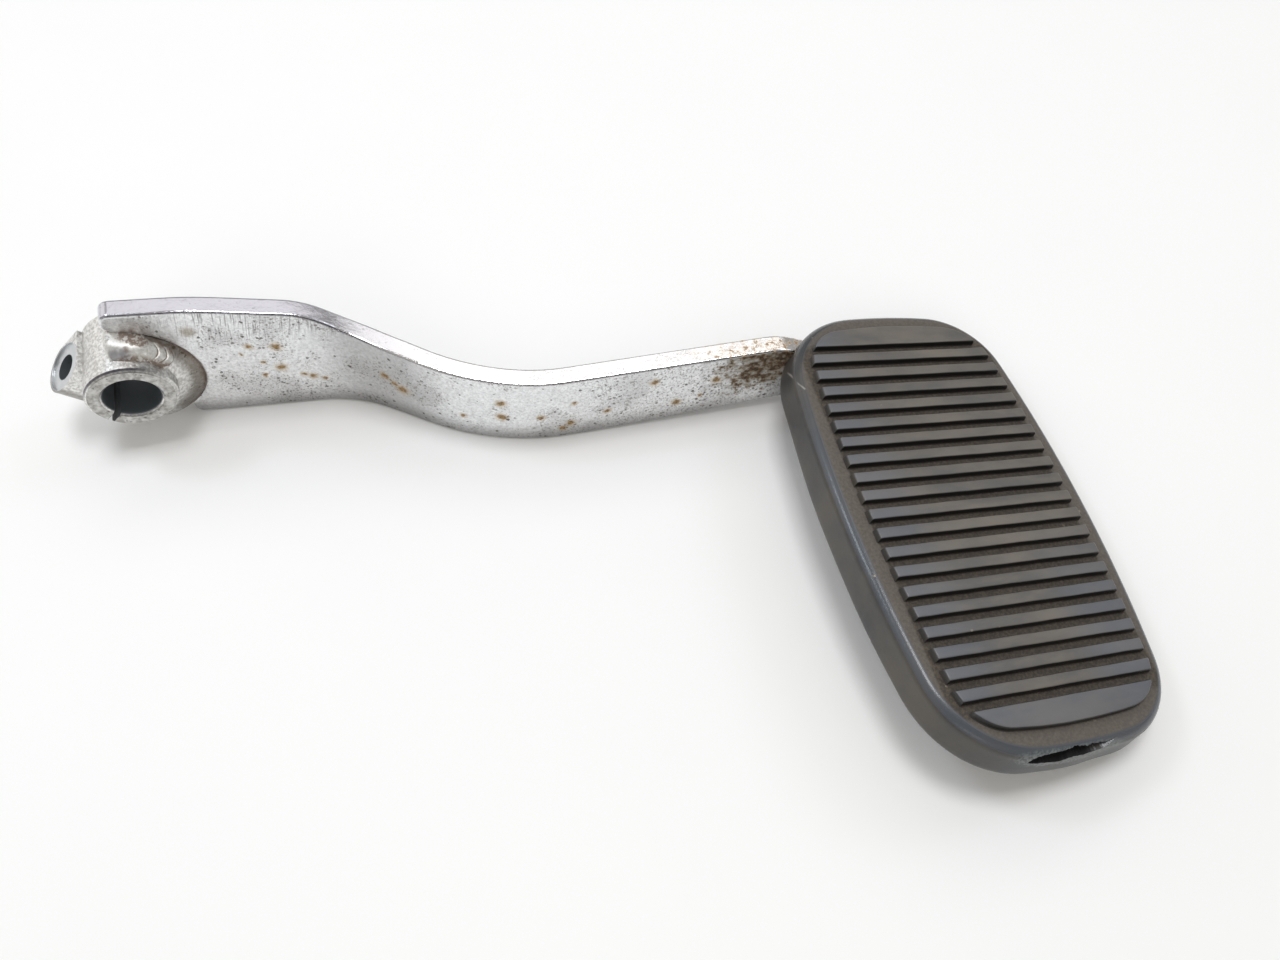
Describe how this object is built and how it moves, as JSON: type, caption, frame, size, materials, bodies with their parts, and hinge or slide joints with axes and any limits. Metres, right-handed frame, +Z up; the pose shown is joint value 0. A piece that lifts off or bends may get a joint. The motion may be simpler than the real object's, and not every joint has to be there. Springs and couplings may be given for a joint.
{
  "type": "brake pedal",
  "caption": "Rear brake pedal: a chromed flat-bar arm, bent outboard, with a split clamp hub for the pivot shaft and a ribbed rubber foot pad.",
  "frame": {"origin": "on the pivot axis, in the outboard end face of the hub", "axes": "+X from the pivot to the pad, +Y inboard along the pivot axis, +Z up"},
  "size_m": [0.2419, 0.1619, 0.0415],
  "materials": {
    "arm_chrome": "worn chrome, pitted and rusty",
    "hub_steel": "satin plated steel",
    "weld_steel": "rippled weld bead with rust at its edges",
    "plate_steel": "dull black",
    "tread_rubber": "dusty moulded rubber"
  },
  "bodies": {
    "root": {"pedal_arm": "arm_chrome", "pivot_hub": "hub_steel", "hub_weld": "weld_steel", "pad_plate": "plate_steel", "plate_weld": "weld_steel", "pad_rubber": "tread_rubber"}
  },
  "joints": []
}
